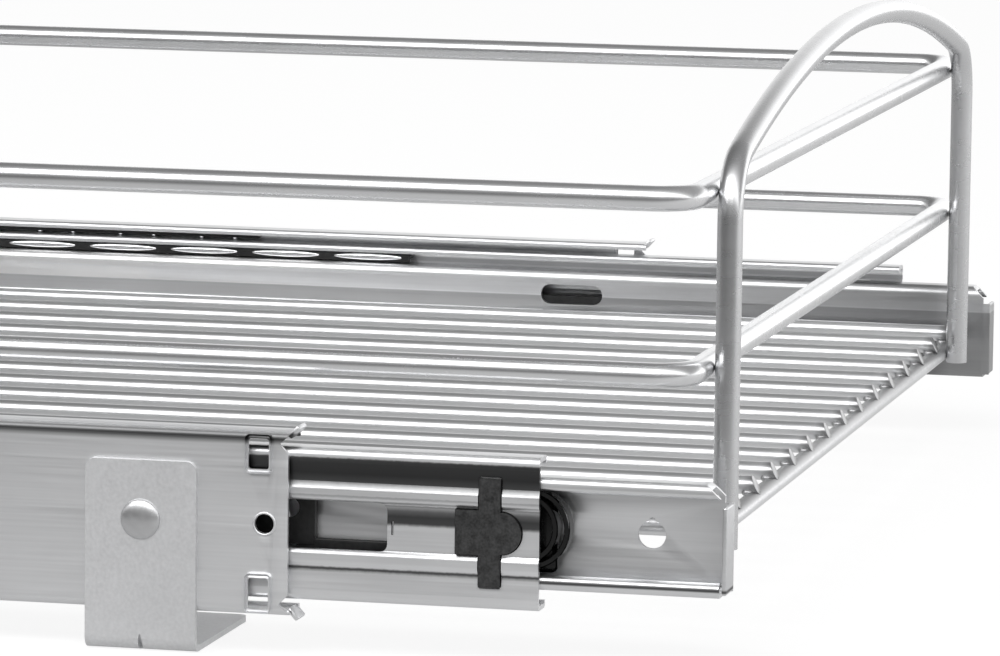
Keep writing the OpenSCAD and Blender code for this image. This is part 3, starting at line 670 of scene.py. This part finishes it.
# Floor wires
# Sixteen thinner wires welded on top of the end rods, the outer ones outside the
# legs, sheared off at a slant just over the rods. The middle ones sag a little.
FLOOR_R = 0.00245
FLOOR_Z = 0.0337            # of the outer wires
floor_sag = 0.0014
wire_count = 16
wire_pitch = 2 * LEG_X / (wire_count - 2)
first_x = -(wire_count - 1) / 2 * wire_pitch
tip = 0.0034
shear = radians(25)
wire_front = FRONT_HOOP_Y + tip
wire_back = REAR_HOOP_Y - tip
wire_chrome_painted_ends = grained_finish("wire_chrome_painted_ends", 0.76, 0.8, (0.003, 0.01, 0.003), (0.29, 0.32),
    0.000001)
# Painted shade: the sheared ends of the floor wires are painted darker.
paint_light_and_shade(wire_chrome_painted_ends, [(-270, 0.4), (-267.3, 0.4), (-266.5, 1), (157.2, 1), (158, 0.4),
    (162, 0.4)], axis="Y", centre=0, half=300)
floor_wire = round_bar((first_x, (wire_front + wire_back) / 2, FLOOR_Z), FLOOR_R,
    wire_back - wire_front, 1, 24, "floor_wire")
into_edit(floor_wire)
for end, way in ((wire_front, -1), (wire_back, 1)):
    bpy.ops.mesh.select_all(action="SELECT")
    bpy.ops.mesh.bisect(plane_co=(first_x, end, FLOOR_Z - FLOOR_R),
        plane_no=(0, way * cos(shear), sin(shear)), use_fill=True, clear_outer=True)
out_of_edit()
soften(floor_wire, 0.0002, 40)
wires = [floor_wire]
for i in range(1, wire_count):
    from_middle = (2 * i + 1) / wire_count - 1
    twin = floor_wire.copy()
    twin.data = floor_wire.data.copy()
    bpy.context.scene.collection.objects.link(twin)
    twin.location = (i * wire_pitch, 0, floor_sag * (from_middle ** 2 - 1))
    wires.append(twin)
floor_wires = joined(wires, "floor_wire_set")
dress(floor_wires, wire_chrome_painted_ends, "basket", "wire", "floor_wires")

# End rods
# A steel rod welded behind each pair of legs, under the wire tips, with the
# small lumps that the welds have pressed out beside every wire.
ROD_R = 0.0024
ROD_Z = 0.0288
rod_setback = 0.0053
WEB_X = 0.2065              # inner face of the drawer members
lump_out = FLOOR_R * 0.82
lump_in = 0.0009
lump_drift = 0.0003
# Painted light and shade: a brighter copy of the chrome, painted darker along the rod's top under
# the wire tips.
rod_chrome_painted_shade = grained_finish("rod_chrome_painted_shade", 0.86, 0.94, (0.002, 0.002, 0.002), (0.36, 0.42),
    0.000004)
paint_light_and_shade(rod_chrome_painted_shade, [(-3, 1), (0.2, 1), (1.2, 0.55), (3, 0.4)], 0.0006, centre=ROD_Z, half=5)


def ball(name, centre, size, segments, rings, turn=(0, 0, 0)):
    """A smooth ball or ellipsoid with its half sizes."""
    bpy.ops.object.select_all(action="DESELECT")
    bpy.ops.mesh.primitive_uv_sphere_add(segments=segments, ring_count=rings, radius=1,
        location=centre, rotation=turn, scale=size)
    bpy.ops.object.shade_smooth()
    return settle(bpy.context.object, name)


for name, y, inward in (("front_rod", FRONT_HOOP_Y + rod_setback, 1),
        ("rear_rod", REAR_HOOP_Y - rod_setback, -1)):
    rod = round_bar((0, y, ROD_Z), ROD_R, 2 * WEB_X, 0, 24, name + "_wire")
    soften(rod, 0.0004, 40)
    lumps = [rod]
    for i in range(wire_count):
        spot = Vector((first_x + i * wire_pitch, y, ROD_Z))
        for side, lift, size in ((-1, 0.0021, 0.0011), (1, 0.0022, 0.0009)):
            shift = lump_drift * sin(7.3 * i + 2 * side)
            beside = Vector((side * lump_out + shift, inward * lump_in + shift, lift))
            lumps.append(ball("lump", spot + beside,
                (size * 1.2, size * 1.5, size * (0.9 + 300 * shift)), 10, 6))
    rod = joined(lumps, name + "_wire")
    dress(rod, rod_chrome_painted_shade, "basket", "wire", name)

# Feet and their rivets
# Feet of bent zinc plated sheet under the slides, with a groove pressed across
# the bend, screwed to the floor and held to the slides by dome headed rivets.
FOOT_Y = (CABINET_Y + 0.0379, CABINET_Y + SLIDE_LEN - 0.0379)
foot_half = 0.0142
foot_sheet = 0.0015
foot_top = 0.0147           # over the slide centre
foot_toe = 0.0485
foot_bend = 0.00245
screw_x = SIDE + 0.0312
screw_r = 0.0024
corner_r = 0.0025
gusset_half = (0.0038, 0.0019, 0.0038)
head_r = 0.0051
head_h = head_r * 0.36
head_out = 0.0014           # from the slide's outer face
tail_r = 0.0032
tail_h = 0.0011
tail_in = 0.0010            # from the slide's outer face
foot_zinc = grained_finish("foot_zinc", 0.68, 0.78, (0.0009, 0.0009, 0.0009), (0.46, 0.54),
    0.00001, metallic=0.85, fine=0.0005)
rivet_zinc = grained_finish("rivet_zinc", 0.6, 0.68, (0.002, 0.002, 0.002), (0.3, 0.36), 0.000004)
foot_corners = [(-foot_sheet / 2, foot_top, 0),
    (-foot_sheet / 2, foot_sheet / 2 - SLIDE_Z, foot_bend), (foot_toe, foot_sheet / 2 - SLIDE_Z, 0)]
left_foot = rolled_sheet("left_front_foot_sheet", foot_corners, FOOT_Y[0] - foot_half,
    2 * foot_half, foot_sheet)
# The corners of the top and of the toe are rounded.
into_edit(left_foot)
bpy.ops.mesh.select_mode(type="EDGE")
bpy.ops.mesh.select_all(action="DESELECT")
out_of_edit()
for edge in left_foot.data.edges:
    a, b = (left_foot.data.vertices[i].co for i in edge.vertices)
    top = min(a.z, b.z) > SLIDE_Z + foot_top - 0.0001
    toe = min(a.x, b.x) > SIDE + foot_toe - 0.0001
    edge.select = (top and abs(a.x - b.x) > 0.001) or (toe and abs(a.z - b.z) > 0.001)
bpy.ops.object.mode_set(mode="EDIT")
bpy.ops.mesh.bevel(offset=corner_r, segments=6, affect="EDGES")
bpy.ops.mesh.select_mode(type="VERT")
out_of_edit()
shape_with(left_foot, round_bar((screw_x, FOOT_Y[0], 0), screw_r, hole_cutter, 2))
# The pressed groove, a shallow bell with a slit in its middle.
for depth, height, size in ((-0.0019, -0.0008, (0.0011, 0.0056, 0.0042)),
        (-0.0010, 0.0006, (0.0026, 0.0006, 0.0036))):
    shape_with(left_foot, ball("groove", (SIDE + depth, FOOT_Y[0], height), size, 32, 24))
soften(left_foot, 0.00025, 25)
# The large faces keep their own normals, so that they stay flat up to the bevels.
weighted = left_foot.modifiers.new("weighted", "WEIGHTED_NORMAL")
weighted.keep_sharp = True
weighted.weight = 100
bpy.ops.object.modifier_apply(modifier="weighted")
gusset = ball("gusset", (SIDE + 0.0028, FOOT_Y[0], 0.0048), gusset_half, 20, 12)
left_foot = joined([left_foot, gusset], "left_front_foot_sheet")
dress(left_foot, foot_zinc, "cabinet_side", "foot_steel", "left_front_foot")
step_back = FOOT_Y[1] - FOOT_Y[0]
for name, back, right in (("left_rear_foot", step_back, False), ("right_front_foot", 0, True),
        ("right_rear_foot", step_back, True)):
    foot = copy_of(left_foot, name + "_sheet", back, right)
    dress(foot, foot_zinc, "cabinet_side", "foot_steel", name)

heads = []
for y in FOOT_Y:
    for side in (-1, 1):
        heads.append(ball("head", (side * (-SIDE + head_out), y, SLIDE_Z),
            (head_r, head_r, head_h), 32, 20, (0, pi / 2, 0)))
        tail = round_bar((side * (-SIDE - tail_in), y, SLIDE_Z), tail_r, tail_h, 0, 32)
        soften(tail, 0.0002, 40)
        heads.append(tail)
rivets = joined(heads, "foot_rivet_heads")
dress(rivets, rivet_zinc, "cabinet_side", "rivet_steel", "foot_rivets")

# Lever arms, bumper bases and slot strips
# Small inner parts of the slides: a moulded black arm of each release lever, which also
# stands in for the shade low in the window, the black base of each bumper, which also
# fills the shade in front of the middle member's end, and the bright steel in the retainers' slots.
LEFT_CAGE_Y = -0.0866
RIGHT_CAGE_Y = -0.0954
SLOT_PITCH = 0.0266
slot_count = 6
arm_front = -0.1990
arm_back = -0.1700
arm_low = SLIDE_Z - 0.0076
arm_high = SLIDE_Z - 0.0043
base_front = LEFT_MIDDLE_Y - 0.0037
base_back = LEFT_MIDDLE_Y + 0.0030
base_half = 0.0098
strip_x = SIDE + 0.00995
strip_z = SLIDE_Z + 0.0157
strip_half = (0.0008, 0.0112, 0.0011)
black_plastic = grained_finish("black_plastic", 0.014, 0.03, (0.0015, 0.0015, 0.0015),
    (0.3, 0.42), 0.00002, metallic=0.0, fine=0.0003, specular=0.25)
gloss_plastic = grained_finish("gloss_plastic", 0.004, 0.009, (0.002, 0.002, 0.002),
    (0.12, 0.2), 0.000004, metallic=0.0, specular=0.25)
polished = grained_finish("polished_steel", 0.7, 0.78, (0.002, 0.002, 0.002), (0.08, 0.14),
    0.000001)
# The black arms also stand in for the shade low in each window.
left_arm_and_shade = block((SIDE + 0.0090, arm_front, arm_low), (SIDE + 0.0106, arm_back, arm_high), 0.0006)
left_arm_and_shade.name = "left_lever_arm_and_shade"
soften(left_arm_and_shade, 0.0002, 40)
right_arm_and_shade = copy_of(left_arm_and_shade, "right_lever_arm_and_shade", mirror=True)
for arm in (left_arm_and_shade, right_arm_and_shade):
    dress(arm, black_plastic, "basket", "black_plastic")
# The black bases also fill the shade in front of each middle member's end.
left_base_and_shade = block((SIDE + 0.0072, base_front, SLIDE_Z - base_half),
    (SIDE + 0.0086, base_back, SLIDE_Z + base_half), 0.0015)
left_base_and_shade.name = "left_bumper_base_and_shade"
soften(left_base_and_shade, 0.0003, 40)
right_base_and_shade = copy_of(left_base_and_shade, "right_bumper_base_and_shade", right_shift, True)
dress(left_base_and_shade, gloss_plastic, "left_middle", "bumper_plastic")
dress(right_base_and_shade, gloss_plastic, "right_middle", "bumper_plastic")
slot_strips = []
for i in range(slot_count):
    middle = (strip_x, LEFT_CAGE_Y + (i + 0.5) * SLOT_PITCH, strip_z)
    slot_strips.append(ball("strip", middle, strip_half, 24, 16))
left_strips = joined(slot_strips, "left_slot_strips")
right_strips = copy_of(left_strips, "right_slot_strips", RIGHT_CAGE_Y - LEFT_CAGE_Y, True)
dress(left_strips, polished, "left_inner_cage", "ball_steel")
dress(right_strips, polished, "right_inner_cage", "ball_steel")

# Stops, bumpers, levers, retainers and balls
# The stops, bumpers, levers and retainers are black mouldings with softly
# broken edges, the balls and the lever rivets are polished steel.
stop_plastic = grained_finish("stop_plastic", 0.012, 0.045, (0.0006, 0.0006, 0.0006),
    (0.35, 0.5), 0.00004, metallic=0.0, fine=0.0004, lumps=0.002, specular=0.35)
for name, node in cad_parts.items():
    if node.hide_render:
        continue
    finish = black_plastic
    width = 0.00015
    if "balls" in name or "rivet" in name:
        finish = polished
        width = 0.0
    elif "stop" in name:
        finish = stop_plastic
        width = 0.0003
    elif "bumper" in name:
        finish = gloss_plastic
        width = 0.0004
        fuller = node.modifiers.new("fuller", "DISPLACE")
        fuller.mid_level = 0
        fuller.strength = 0.00025
    node.data.materials.clear()
    node.data.materials.append(finish)
    if width:
        rounded = node.modifiers.new("rounded", "BEVEL")
        rounded.width = width
        rounded.segments = 3
        rounded.limit_method = "ANGLE"
        rounded.angle_limit = radians(40)

# The studio floor
# A wide sheet of pale paper. The camera sees it nearly white with soft shadows.
# For the bright metal it glows with a painted reflection, dark in front and bright behind.
floor_tone = (0.86, 0.86, 0.86, 1)
floor_glow = 1.12
white_share = 0.75          # of the glow in what the camera sees
mirror_share = 0.85         # of the shaded glow in what the metal mirrors
bpy.ops.object.select_all(action="DESELECT")
bpy.ops.mesh.primitive_circle_add(vertices=96, radius=12, fill_type="NGON", location=(0, 0, -0.0002))
floor = settle(bpy.context.object, "studio_floor")


def staged_finish(name):
    """An empty finish with a glow and the split place on the piece."""
    finish = bpy.data.materials.new(name)
    finish.use_nodes = True
    tree = finish.node_tree
    tree.nodes.clear()
    glow = tree.nodes.new("ShaderNodeEmission")
    place = tree.nodes.new("ShaderNodeTexCoord")
    split = tree.nodes.new("ShaderNodeSeparateXYZ")
    tree.links.new(place.outputs["Object"], split.inputs["Vector"])
    return finish, tree, glow, split


def blend(tree, share, one, two):
    """One surface that turns into another by a share."""
    mixed = tree.nodes.new("ShaderNodeMixShader")
    tree.links.new(share, mixed.inputs["Fac"])
    tree.links.new(one.outputs[0], mixed.inputs[1])
    tree.links.new(two.outputs[0], mixed.inputs[2])
    return mixed


def give_surface(tree, shader):
    surface = tree.nodes.new("ShaderNodeOutputMaterial").inputs["Surface"]
    tree.links.new(shader.outputs[0], surface)


floor_finish, tree, glow, split = staged_finish("studio_floor")
paper = tree.nodes.new("ShaderNodeBsdfDiffuse")
paper.inputs["Color"].default_value = floor_tone
white = tree.nodes.new("ShaderNodeEmission")
white.inputs["Color"].default_value = (1, 1, 1, 1)
white.inputs["Strength"].default_value = floor_glow
path = tree.nodes.new("ShaderNodeLightPath")
seen = blend(tree, times(tree, path.outputs["Is Camera Ray"], white_share), paper, white)
# Painted reflection: for the metal the floor glows darker in front of the basket and brighter behind
# it.
along = passage(tree, split.outputs["X"], -0.75, -0.33, 0.06, 0.66, "SMOOTHSTEP")
across = passage(tree, split.outputs["Y"], -0.8, 0.4, 1.15, 0.5, "SMOOTHSTEP")
tree.links.new(times(tree, along, across), glow.inputs["Strength"])
mirrored = blend(tree, times(tree, path.outputs["Is Glossy Ray"], mirror_share), seen, glow)
give_surface(tree, mirrored)
floor.data.materials.append(floor_finish)

# The dome
# What the bright metal mirrors above the floor: a tall window on the camera's
# side, dim walls and a bright far end. Nothing else sees it.
dome_radius = 8
bpy.ops.object.select_all(action="DESELECT")
bpy.ops.mesh.primitive_uv_sphere_add(segments=48, ring_count=24, radius=dome_radius,
    location=(0, 0, 0))
dome = settle(bpy.context.object, "studio_dome")
dome_finish, tree, glow, split = staged_finish("studio_dome")
turned = tree.nodes.new("ShaderNodeMath")
turned.operation = "ARCTAN2"
tree.links.new(split.outputs["Z"], turned.inputs[0])
tree.links.new(times(tree, split.outputs["X"], -1.0), turned.inputs[1])
# From 0 at the horizon on the camera's side over the top to 1 at the far horizon.
height = times(tree, turned.outputs[0], 1 / pi)
ramp = tree.nodes.new("ShaderNodeValToRGB")
fill_ramp(ramp, [(0.0, 0.12), (0.1, 0.16), (0.15, 0.4), (0.2, 0.9), (0.3, 0.9), (0.37, 0.34),
    (0.45, 0.2), (0.62, 0.16), (0.8, 0.2), (0.88, 0.7), (1.0, 0.9)])
tree.links.new(height, ramp.inputs["Fac"])
tree.links.new(ramp.outputs["Color"], glow.inputs["Color"])
across = passage(tree, split.outputs["Y"], -6.0, 6.0, 2.2, 1.1, "SMOOTHSTEP")
tree.links.new(across, glow.inputs["Strength"])
give_surface(tree, glow)
dome.data.materials.append(dome_finish)
dome.visible_camera = False
dome.visible_diffuse = False
dome.visible_shadow = False

# The light
# A white surround, which also fills the shadows at about half its strength, and
# one large soft lamp from the left above.
fill_strength = 0.55
world = bpy.data.worlds.new("studio")
bpy.context.scene.world = world
world.use_nodes = True
tree = world.node_tree
background = tree.nodes["Background"]
background.inputs["Color"].default_value = (1, 1, 1, 1)
path = tree.nodes.new("ShaderNodeLightPath")
seen = plus(tree, path.outputs["Is Camera Ray"], path.outputs["Is Glossy Ray"])
seen = plus(tree, seen, path.outputs["Is Transmission Ray"])
strength = passage(tree, seen, 0, 1, fill_strength, 1)
tree.links.new(strength, background.inputs["Strength"])

key_data = bpy.data.lights.new("key_light", "AREA")
key_data.shape = "RECTANGLE"
key_data.size = 3.0
key_data.size_y = 1.0
key_data.energy = 36
key = bpy.data.objects.new("key_light", key_data)
bpy.context.scene.collection.objects.link(key)
key.location = (-1.7, 0.3, 1.7)
key.rotation_mode = "QUATERNION"
key.rotation_quaternion = (Vector((0, 0, 0.05)) - key.location).to_track_quat("-Z", "Y")
